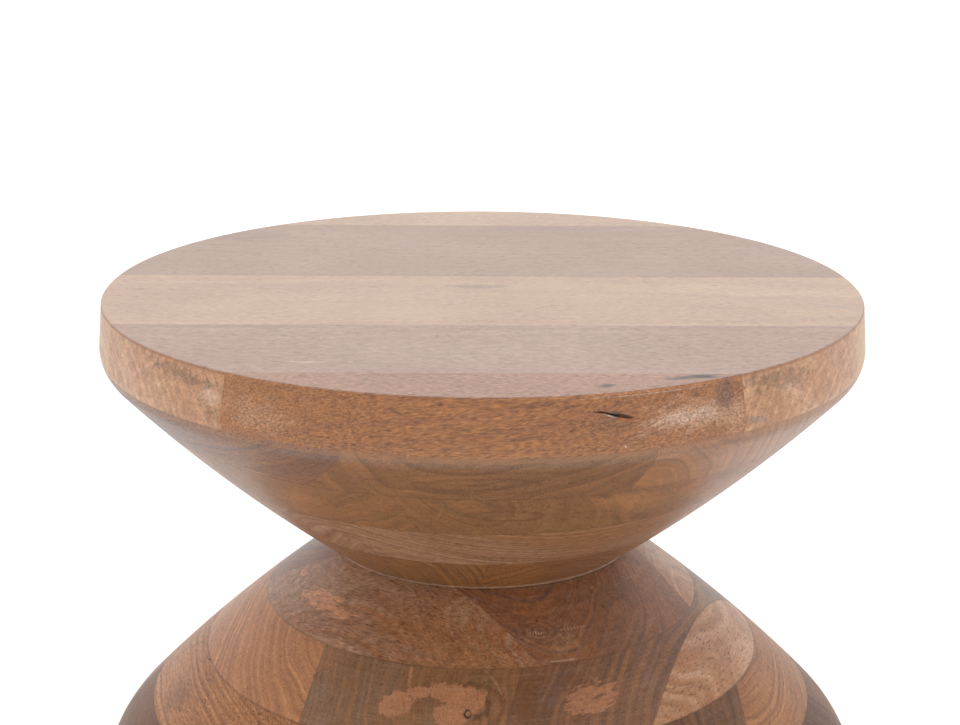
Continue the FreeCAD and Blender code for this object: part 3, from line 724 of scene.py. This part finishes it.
def wood(node, plank, settings):
    """Material of one plank, as solid wood with the rings, streaks and pores of its own log."""
    colours, grain, lacquer = settings.wood_colours, settings.wood_grain, settings.lacquer
    layer = layer_of(node)

    def colour_of(name, shade=1.0):
        return (*(min(value * shade, 1.0) for value in getattr(colours, name)), 1)

    tree = Tree(f"{node}_wood")
    angle = math.radians(GRAIN_ANGLES[layer])
    low, high = reach_across(node, angle)
    bottom, top = (corner.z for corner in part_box(node))
    across = (low + high) / 2 + plank.pith[0] * MM
    pith = (-across * math.sin(angle), across * math.cos(angle), (bottom + top) / 2 + plank.pith[1] * MM)
    seed = SEED_STEP * (list(PLANKS).index(node) + 1)

    # Along the grain is X here, across the board Y, and through it Z
    log = tree.place(pith, (0, math.radians(plank.tilt), angle))
    shifted = tree.vector("ADD", log, (seed, 0, 0))

    def stretched(scale, detail=2.0, roughness=0.5, output=0):
        """Noise with its own scale along the grain and across it."""
        along, wide = scale
        return tree.noise(shifted, (along, wide, wide), detail, roughness, output)

    def wander(scale, detail, reach):
        """A push to the side that changes along the board."""
        push = tree.vector("SUBTRACT", stretched(scale, detail, output=1), (MIDDLE, MIDDLE, MIDDLE))
        return tree.vector("MULTIPLY", push, (0, reach, reach))

    def grain_noise(width, length, detail=2.0, roughness=0.5):
        """Noise in streaks of a width, and so many times as long."""
        return tree.noise(curly, (1 / (width * length), 1 / width, 1 / width), detail, roughness)

    bent = tree.vector("ADD", log, wander(SWAY_SCALE, 2.0, grain.sway * 4))
    age = tree.vector("LENGTH", tree.vector("MULTIPLY", bent, (TAPER, 1, 1)), (0, 0, 0), output=1)

    # Knots, patches and streaks that this plank has
    fray = stretched(FRAY_SCALE) - MIDDLE
    shapes = []
    push = 0.0
    for mark in MARKS.get(node, ()):
        shape, reach = mark_shape(tree, node, mark, fray)
        shapes.append((mark, shape))
        if mark.swirl:
            push = reach.fade(SWIRL_REACH, 0.0) * (mark.swirl * MM) + push
    age = age + push
    curly = tree.vector("ADD", shifted, wander(CURL_SCALE, 1.0, grain.curl))
    curly = tree.vector("ADD", curly, tree.join(0, push, push))

    # Broad bands of growth, and a thin line at the end of each year
    years = age * (1 / (plank.ring * MM))
    bands = tree.add("TexNoise", {"noise_dimensions": "1D"}, {"W": years * 0.5 + seed, "Detail": 2.0})
    year_end = tree.add("Math", {"operation": "FRACT"}, {0: years}) ** YEAR_END_SHARPNESS
    fibre = grain_noise(grain.fibre_width, FIBRE_LENGTH, 2.0, 0.6)
    streaky = grain_noise(grain.streak_width, STREAK_LENGTH, 3.0)
    blotch = stretched(BLOTCH_SCALE, 3.0, 0.55)

    growth = bands * 0.8 + blotch * 0.8 - 0.3
    colour = tree.mix(growth.fade(0.2, 0.8),
                      colour_of(plank.light, plank.shade * (1 + plank.contrast)),
                      colour_of(plank.dark, plank.shade * (1 - plank.contrast)))
    for share, name in ((year_end * plank.rings, plank.streak),
                        (streaky.fade(0.52, 0.75) * plank.streaks, plank.streak),
                        (blotch.fade(0.5, 0.72) * plank.flushes, plank.flush)):
        colour = tree.mix(share, colour, colour_of(name, plank.shade))
    board = tree.place(rotation=(0, 0, angle))
    side, level = tree.part(board, 1), tree.part(board, 2)

    # Painted sheen: the flat top is washed paler and less mottled, standing in for the reflection of the
    # white room in the lacquer, down to a painted highlight, a warm line along its edge
    clouds = 1.0
    if layer == "tabletop":
        sheen_painted = level.fade(TOP_LEVEL - grain.painted_sheen_depth, TOP_LEVEL) * grain.painted_sheen
        colour = tree.mix(sheen_painted, colour, colour_of(plank.painted_sheen))
        clouds = 1 - sheen_painted
        # Painted highlight: a warm copper line where the lacquered edge of the top catches the light
        line = grain.edge_highlight_width
        edge = level.fade(TOP_LEVEL - line * 2, TOP_LEVEL - line)
        edge = edge * level.fade(TOP_LEVEL - line * 0.1, TOP_LEVEL - line * 0.5)
        colour = tree.mix(edge * EDGE_HIGHLIGHT_STRENGTH, colour, colour_of("copper"))
    for mark, shape in shapes:
        colour = tree.mix(shape * mark.strength, colour, colour_of(mark.colour))

    # Open pores: short dashes along the grain, dots across it
    pore = grain_noise(grain.pore_width, PORE_LENGTH, 1.0).fade(0.6, 0.72)
    dense = blotch.fade(0.3, 0.6)
    shown = dense * (1 - LEAST_PORES) + LEAST_PORES
    colour = tree.mix(pore * shown * plank.pores, colour, colour_of("pore"))

    # Marks of the turning tool round the table, and of sanding across the grain
    spot = tree.place()
    turned = tree.noise(spot, (TURNING_SCALE, TURNING_SCALE, 1 / grain.turning_width), 1.0)
    sanded = tree.noise(log, SANDING_SCALE, 1.0)
    scuff = (turned + sanded).fade(1.05, 1.35) * (plank.scuffs * 0.5)
    colour = tree.mix(scuff, colour, colour_of("ash", SCUFF_SHADE))
    mottle = tree.noise(spot, 1 / grain.mottle_width, 3.0, 0.6)
    cloudy = (mottle - MIDDLE) * (plank.mottle * MOTTLE_RELIEF) * clouds
    relief = (fibre - MIDDLE) * (plank.fibres * FIBRE_RELIEF) + cloudy + (turned - MIDDLE) * TURNING_RELIEF
    colour = tree.mix(1.0, colour, tree.join(*(relief * tint + 1 for tint in RELIEF_TINTS)), "MULTIPLY")

    # Glue lines where the plank meets its neighbours, broken where the joint is tightest
    gaps = [level - bottom] if bottom > FLOOR_GAP else []
    if top < TOP_LEVEL - MM:
        gaps.append(top - level)
    number, count = int(node[-1]), len(LAYERS[layer])
    if number > 1:
        gaps.append(side - low)
    if number < count:
        gaps.append(high - side)
    glue = tree.least(*gaps).fade(grain.glue_width, grain.glue_width * 0.3) * dense
    strength = FINE_GLUE_STRENGTH if layer in FINE_JOINTS else GLUE_STRENGTH
    colour = tree.mix(glue * strength, colour, colour_of("umber"))
    height = fibre * FIBRE_HEIGHT + turned * TURNING_HEIGHT - pore * (grain.pore_depth / MM)

    # Band of open pores under the rim
    if layer == "shoulder":
        dots = tree.add("TexVoronoi", None, {"Vector": spot, "Scale": 1 / grain.band_spacing})
        strip = (top - level).fade(grain.band_height, grain.band_height * 0.7)
        colour = tree.mix(strip * 0.35, colour, colour_of("tan"))
        band = (dots + blotch * 0.3).fade(0.5, 0.36) * strip
        colour = tree.mix(band * plank.band, colour, colour_of("pore"))
        height = height - band * DOT_DEPTH

    plain = lacquer.wood_roughness - FIBRE_ROUGHNESS / 2
    roughness = pore * PORE_ROUGHNESS + fibre * FIBRE_ROUGHNESS + plain
    tree.finish(colour, roughness, height, lacquer, plank.coat)
    return tree.material


def dowel_wood(colours, grain):
    """Bare planed wood with upright grain, the same for every dowel."""
    tree = Tree("dowel_wood")
    width = 1 / grain.fibre_width
    fibre = tree.noise(tree.place(), (width, width, width / STREAK_LENGTH), 3.0)
    colour = tree.mix(fibre.fade(0.35, 0.7), (*colours.birch, 1), (*colours.tan, 1))
    tree.finish(colour, fibre * 0.2 + 0.5, fibre * 0.3)
    return tree.material


def felt_cloth(felt):
    """Pressed grey felt with loose fibres."""
    tree = Tree("grey_felt")
    spot = tree.place()
    tangle = tree.noise(spot, 1 / felt.fibre_width, 4.0, 0.7)
    clumps = tree.noise(spot, 0.1 / felt.fibre_width, 2.0)
    mixed = tangle + clumps * 0.4 - 0.2
    colour = tree.mix(mixed.fade(0.3, 0.7), (*felt.dark, 1), (*felt.light, 1))
    tree.finish(colour, tangle * 0.1 + FELT_ROUGHNESS, tangle * 0.5)
    return tree.material


def select_only(piece):
    """Selects one object and makes it the active one."""
    bpy.ops.object.select_all(action="DESELECT")
    piece.select_set(True)
    bpy.context.view_layer.objects.active = piece


def modify(piece, kind, **settings):
    """Adds a modifier, sets it up and applies it."""
    select_only(piece)
    bpy.ops.object.modifier_add(type=kind)
    modifier = piece.modifiers[-1]
    for name, value in settings.items():
        setattr(modifier, name, value)
    bpy.ops.object.modifier_apply(modifier=modifier.name)


def split_cutter(split, seed, roughness):
    """A ragged lens that stands half out of the rim, where a split goes."""
    bearing = math.radians(split.bearing)
    bpy.ops.object.select_all(action="DESELECT")
    bpy.ops.mesh.primitive_ico_sphere_add(subdivisions=3, radius=1.0, calc_uvs=False)
    bpy.ops.object.mode_set(mode="EDIT")
    bpy.ops.mesh.select_all(action="SELECT")
    bpy.ops.transform.vertex_random(offset=roughness, seed=seed)
    bpy.ops.mesh.vertices_smooth(factor=0.5)
    bpy.ops.object.mode_set(mode="OBJECT")
    cutter = bpy.context.object
    cutter.scale = [value * MM for value in split.size]
    cutter.rotation_euler = (0, -math.radians(split.turn), bearing)
    cutter.location = surface_point(FRONT_PLANK, bearing, split.height * MM)
    bpy.ops.object.transform_apply(location=True, rotation=True, scale=True)
    return cutter


def build_front_plank(settings):
    """The front plank of the top, with the crack cut into its rim."""
    crack = settings.crack
    plank = bpy.data.objects.new("front_plank", NODES[FRONT_PLANK].data.copy())
    bpy.context.scene.collection.objects.link(plank)
    select_only(plank)
    bpy.ops.mesh.customdata_custom_splitnormals_clear()
    bpy.ops.object.mode_set(mode="EDIT")
    bpy.ops.mesh.select_all(action="SELECT")
    bpy.ops.mesh.remove_doubles(threshold=crack.merge_distance)
    bpy.ops.object.mode_set(mode="OBJECT")
    for seed, split in enumerate(SPLITS):
        cutter = split_cutter(split, seed, crack.roughness)
        modify(plank, "BOOLEAN", operation="DIFFERENCE", solver="EXACT", object=cutter)
        bpy.data.objects.remove(cutter)
    select_only(plank)
    bpy.ops.object.shade_smooth_by_angle(angle=crack.smooth_angle)
    modify(plank, "WEIGHTED_NORMAL", keep_sharp=True)
    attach(plank, BODY)
    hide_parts(FRONT_PLANK)


# A pad: its sides, the steps of its rounded edge, and the rings inside its faces as shares of its radius
PAD_SIDES = 72
PAD_EDGE_STEPS = 3
PAD_INSETS = (0.3, 0.4)
PAD_SMOOTH_ANGLE = math.radians(40)


def select_faces(piece, test):
    """Selects the faces whose normal's upright part passes a test."""
    bpy.ops.object.mode_set(mode="OBJECT")
    for face in piece.data.polygons:
        face.select = test(abs(face.normal.z))
    bpy.ops.object.mode_set(mode="EDIT")


def build_felt_pads(felt):
    """Round pads of pressed felt. One is modelled, and the others are copies of it."""
    first, *others = FELT_PADS
    low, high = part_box(first)
    thickness = high.z - low.z
    radius = (high.x - low.x) / 2
    bpy.ops.object.select_all(action="DESELECT")
    bpy.ops.mesh.primitive_cylinder_add(
        vertices=PAD_SIDES, radius=radius, depth=thickness, location=(low + high) / 2, calc_uvs=False)
    pad = bpy.context.object
    pad.name = "pad_1"
    bpy.ops.object.transform_apply(location=True, rotation=True, scale=True)
    bpy.ops.object.mode_set(mode="EDIT")
    bpy.ops.mesh.select_mode(type="FACE")
    bpy.ops.mesh.select_all(action="DESELECT")
    select_faces(pad, lambda upright: upright > 0.5)
    bpy.ops.mesh.region_to_loop()
    bpy.ops.mesh.bevel(offset=felt.edge, segments=PAD_EDGE_STEPS, affect="EDGES")
    bpy.ops.mesh.select_mode(type="FACE")
    select_faces(pad, lambda upright: upright > 0.99)
    for share in PAD_INSETS:
        bpy.ops.mesh.inset(thickness=radius * share, depth=0)
    select_faces(pad, lambda upright: upright < 0.5)
    bpy.ops.mesh.subdivide(number_cuts=1)
    bpy.ops.mesh.select_mode(type="VERT")
    bpy.ops.mesh.select_all(action="DESELECT")
    bpy.ops.object.mode_set(mode="OBJECT")
    for point in pad.data.vertices:
        point.select = abs(point.co.z - low.z - thickness / 2) < thickness * 0.2
    bpy.ops.object.mode_set(mode="EDIT")
    bpy.ops.transform.vertex_random(offset=felt.fuzz, uniform=0.5, seed=3)
    bpy.ops.object.mode_set(mode="OBJECT")
    bpy.ops.object.shade_smooth_by_angle(angle=PAD_SMOOTH_ANGLE)
    pad.data.materials.append(felt_cloth(felt))
    pads = [pad]
    for number, node in enumerate(others, start=2):
        select_only(pad)
        bpy.ops.object.duplicate(linked=False)
        copy = bpy.context.object
        copy.name = f"pad_{number}"
        copy.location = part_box(node)[0] - low
        bpy.ops.object.transform_apply(location=True, rotation=False, scale=False)
        pads.append(copy)
    for pad, node in zip(pads, FELT_PADS):
        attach(pad, BODY)
        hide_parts(node)


def finish_planks(context, layers):
    """Gives every plank of some layers its wood."""
    for node, plank in PLANKS.items():
        if layer_of(node) in layers:
            NODES[node].data.materials[0] = wood(node, plank, context.scene.table_finish)


class TABLE_OT_finish_tabletop(bpy.types.Operator):
    """Finish the five planks of the top"""

    bl_idname = "table.finish_tabletop"
    bl_label = "Tabletop"

    def execute(self, context):
        finish_planks(context, ("tabletop",))
        return {"FINISHED"}


class TABLE_OT_finish_bowl(bpy.types.Operator):
    """Finish the planks of the upper half, under the top"""

    bl_idname = "table.finish_bowl"
    bl_label = "Bowl"

    def execute(self, context):
        finish_planks(context, ("shoulder", "bowl", "throat", "neck"))
        return {"FINISHED"}


class TABLE_OT_finish_base(bpy.types.Operator):
    """Finish the planks of the lower half"""

    bl_idname = "table.finish_base"
    bl_label = "Base"

    def execute(self, context):
        finish_planks(context, ("collar", "flank", "skirt", "hip", "foot"))
        return {"FINISHED"}


class TABLE_OT_finish_dowels(bpy.types.Operator):
    """Finish the dowels across the waist"""

    bl_idname = "table.finish_dowels"
    bl_label = "Dowels"

    def execute(self, context):
        settings = context.scene.table_finish
        material = dowel_wood(settings.wood_colours, settings.wood_grain)
        for node in DOWELS:
            NODES[node].data.materials[0] = material
        return {"FINISHED"}


class TABLE_OT_build_front_plank(bpy.types.Operator):
    """Build the front plank with the crack in its rim"""

    bl_idname = "table.build_front_plank"
    bl_label = "Front plank"

    def execute(self, context):
        build_front_plank(context.scene.table_finish)
        return {"FINISHED"}


class TABLE_OT_build_felt_pads(bpy.types.Operator):
    """Build the felt pads under the base"""

    bl_idname = "table.build_felt_pads"
    bl_label = "Felt pads"

    def execute(self, context):
        build_felt_pads(context.scene.table_finish.felt)
        return {"FINISHED"}


class TABLE_OT_build_stage(bpy.types.Operator):
    """Set up the floor, the lights and the camera"""

    bl_idname = "table.build_stage"
    bl_label = "Stage"

    def execute(self, context):
        studio = context.scene.table_finish.studio
        build_floor(studio)
        build_lights(context, studio)
        build_camera(context, studio)
        return {"FINISHED"}


# Greys of the faint clouds in the white floor
FLOOR_GREYS = (0.78, 0.82)
WHITE = (1, 1, 1, 1)


def build_floor(studio):
    """A round white floor."""
    bpy.ops.object.select_all(action="DESELECT")
    bpy.ops.mesh.primitive_circle_add(vertices=96, radius=studio.floor_radius, fill_type="NGON")
    floor = bpy.context.object
    floor.name = "floor"
    tree = Tree("white_floor")
    clouds = tree.noise(tree.add("TexCoord", output="Object"), 3.0, detail=2.0)
    colour = tree.mix(clouds, *((grey, grey, grey, 1) for grey in FLOOR_GREYS))
    matt = tree.add("BsdfPrincipled", None, {
        "Base Color": colour, "Roughness": 0.9, "Emission Color": WHITE,
        "Emission Strength": studio.floor_glow})
    tree.add_output(matt)
    floor.data.materials.append(tree.material)


def build_lights(context, studio):
    """A white room, brightest behind the table and dimmest in front of it."""
    world = bpy.data.worlds.new("white_room")
    world.use_nodes = True
    nodes, links = world.node_tree.nodes, world.node_tree.links

    def fade(socket, start, end, first, last):
        stage = nodes.new("ShaderNodeMapRange")
        stage.interpolation_type = "SMOOTHSTEP"
        links.new(socket, stage.inputs["Value"])
        for name, value in zip(("From Min", "From Max", "To Min", "To Max"), (start, end, first, last)):
            stage.inputs[name].default_value = value
        return stage.outputs[0]

    way = nodes.new("ShaderNodeSeparateXYZ")
    links.new(nodes.new("ShaderNodeTexCoord").outputs["Generated"], way.inputs[0])
    walls = fade(way.outputs["Y"], -1.0, 1.0, studio.front_strength, studio.back_strength)
    ceiling = fade(way.outputs["Z"], 0.35, 0.8, 0.0, 1.0)
    room = nodes.new("ShaderNodeMix")
    links.new(ceiling, room.inputs["Factor"])
    links.new(walls, room.inputs["A"])
    room.inputs["B"].default_value = studio.ceiling_strength
    links.new(room.outputs["Result"], nodes["Background"].inputs["Strength"])
    nodes["Background"].inputs["Color"].default_value = WHITE
    context.scene.world = world
    context.scene.view_settings.view_transform = "Standard"


def build_camera(context, studio):
    """The camera at the photograph's viewing angle."""
    camera = bpy.data.cameras.new("photo_camera")
    camera.lens = studio.focal_length
    camera.sensor_width = SENSOR_WIDTH
    holder = bpy.data.objects.new("photo_camera", camera)
    holder.location = studio.camera_place
    facing = Euler((math.radians(90) - studio.camera_pitch, 0, studio.camera_yaw)).to_matrix()
    holder.rotation_euler = (facing @ Matrix.Rotation(studio.camera_roll, 3, "Z")).to_euler()
    context.scene.collection.objects.link(holder)
    context.scene.camera = holder


class TableFinish(bpy.types.PropertyGroup):
    """Everything that a user can change"""

    wood_colours: bpy.props.PointerProperty(type=WoodColours)
    wood_grain: bpy.props.PointerProperty(type=WoodGrain)
    lacquer: bpy.props.PointerProperty(type=Lacquer)
    crack: bpy.props.PointerProperty(type=Crack)
    felt: bpy.props.PointerProperty(type=Felt)
    studio: bpy.props.PointerProperty(type=Studio)


OPERATORS = (
    TABLE_OT_finish_tabletop,
    TABLE_OT_finish_bowl,
    TABLE_OT_finish_base,
    TABLE_OT_finish_dowels,
    TABLE_OT_build_front_plank,
    TABLE_OT_build_felt_pads,
    TABLE_OT_build_stage,
)


class TABLE_PT_finish(bpy.types.Panel):
    """Lists what can be changed and made"""

    bl_idname = "TABLE_PT_finish"
    bl_label = "Table"
    bl_space_type = "VIEW_3D"
    bl_region_type = "UI"
    bl_category = "Table"

    def draw(self, context):
        settings = context.scene.table_finish
        for group in (settings.wood_colours, settings.wood_grain, settings.lacquer, settings.crack,
                      settings.felt, settings.studio):
            box = self.layout.box()
            for name in group.__annotations__:
                box.prop(group, name)
        for operator in OPERATORS:
            self.layout.operator(operator.bl_idname)


CLASSES = (WoodColours, WoodGrain, Crack, Felt, Lacquer, Studio, TableFinish, *OPERATORS, TABLE_PT_finish)


def register():
    for cls in CLASSES:
        bpy.utils.register_class(cls)
    bpy.types.Scene.table_finish = bpy.props.PointerProperty(type=TableFinish)


def unregister():
    del bpy.types.Scene.table_finish
    for cls in reversed(CLASSES):
        bpy.utils.unregister_class(cls)


def main():
    """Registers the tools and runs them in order."""
    register()
    for operator in OPERATORS:
        group, name = operator.bl_idname.split(".")
        getattr(getattr(bpy.ops, group), name)()


if __name__ == "__main__":
    main()
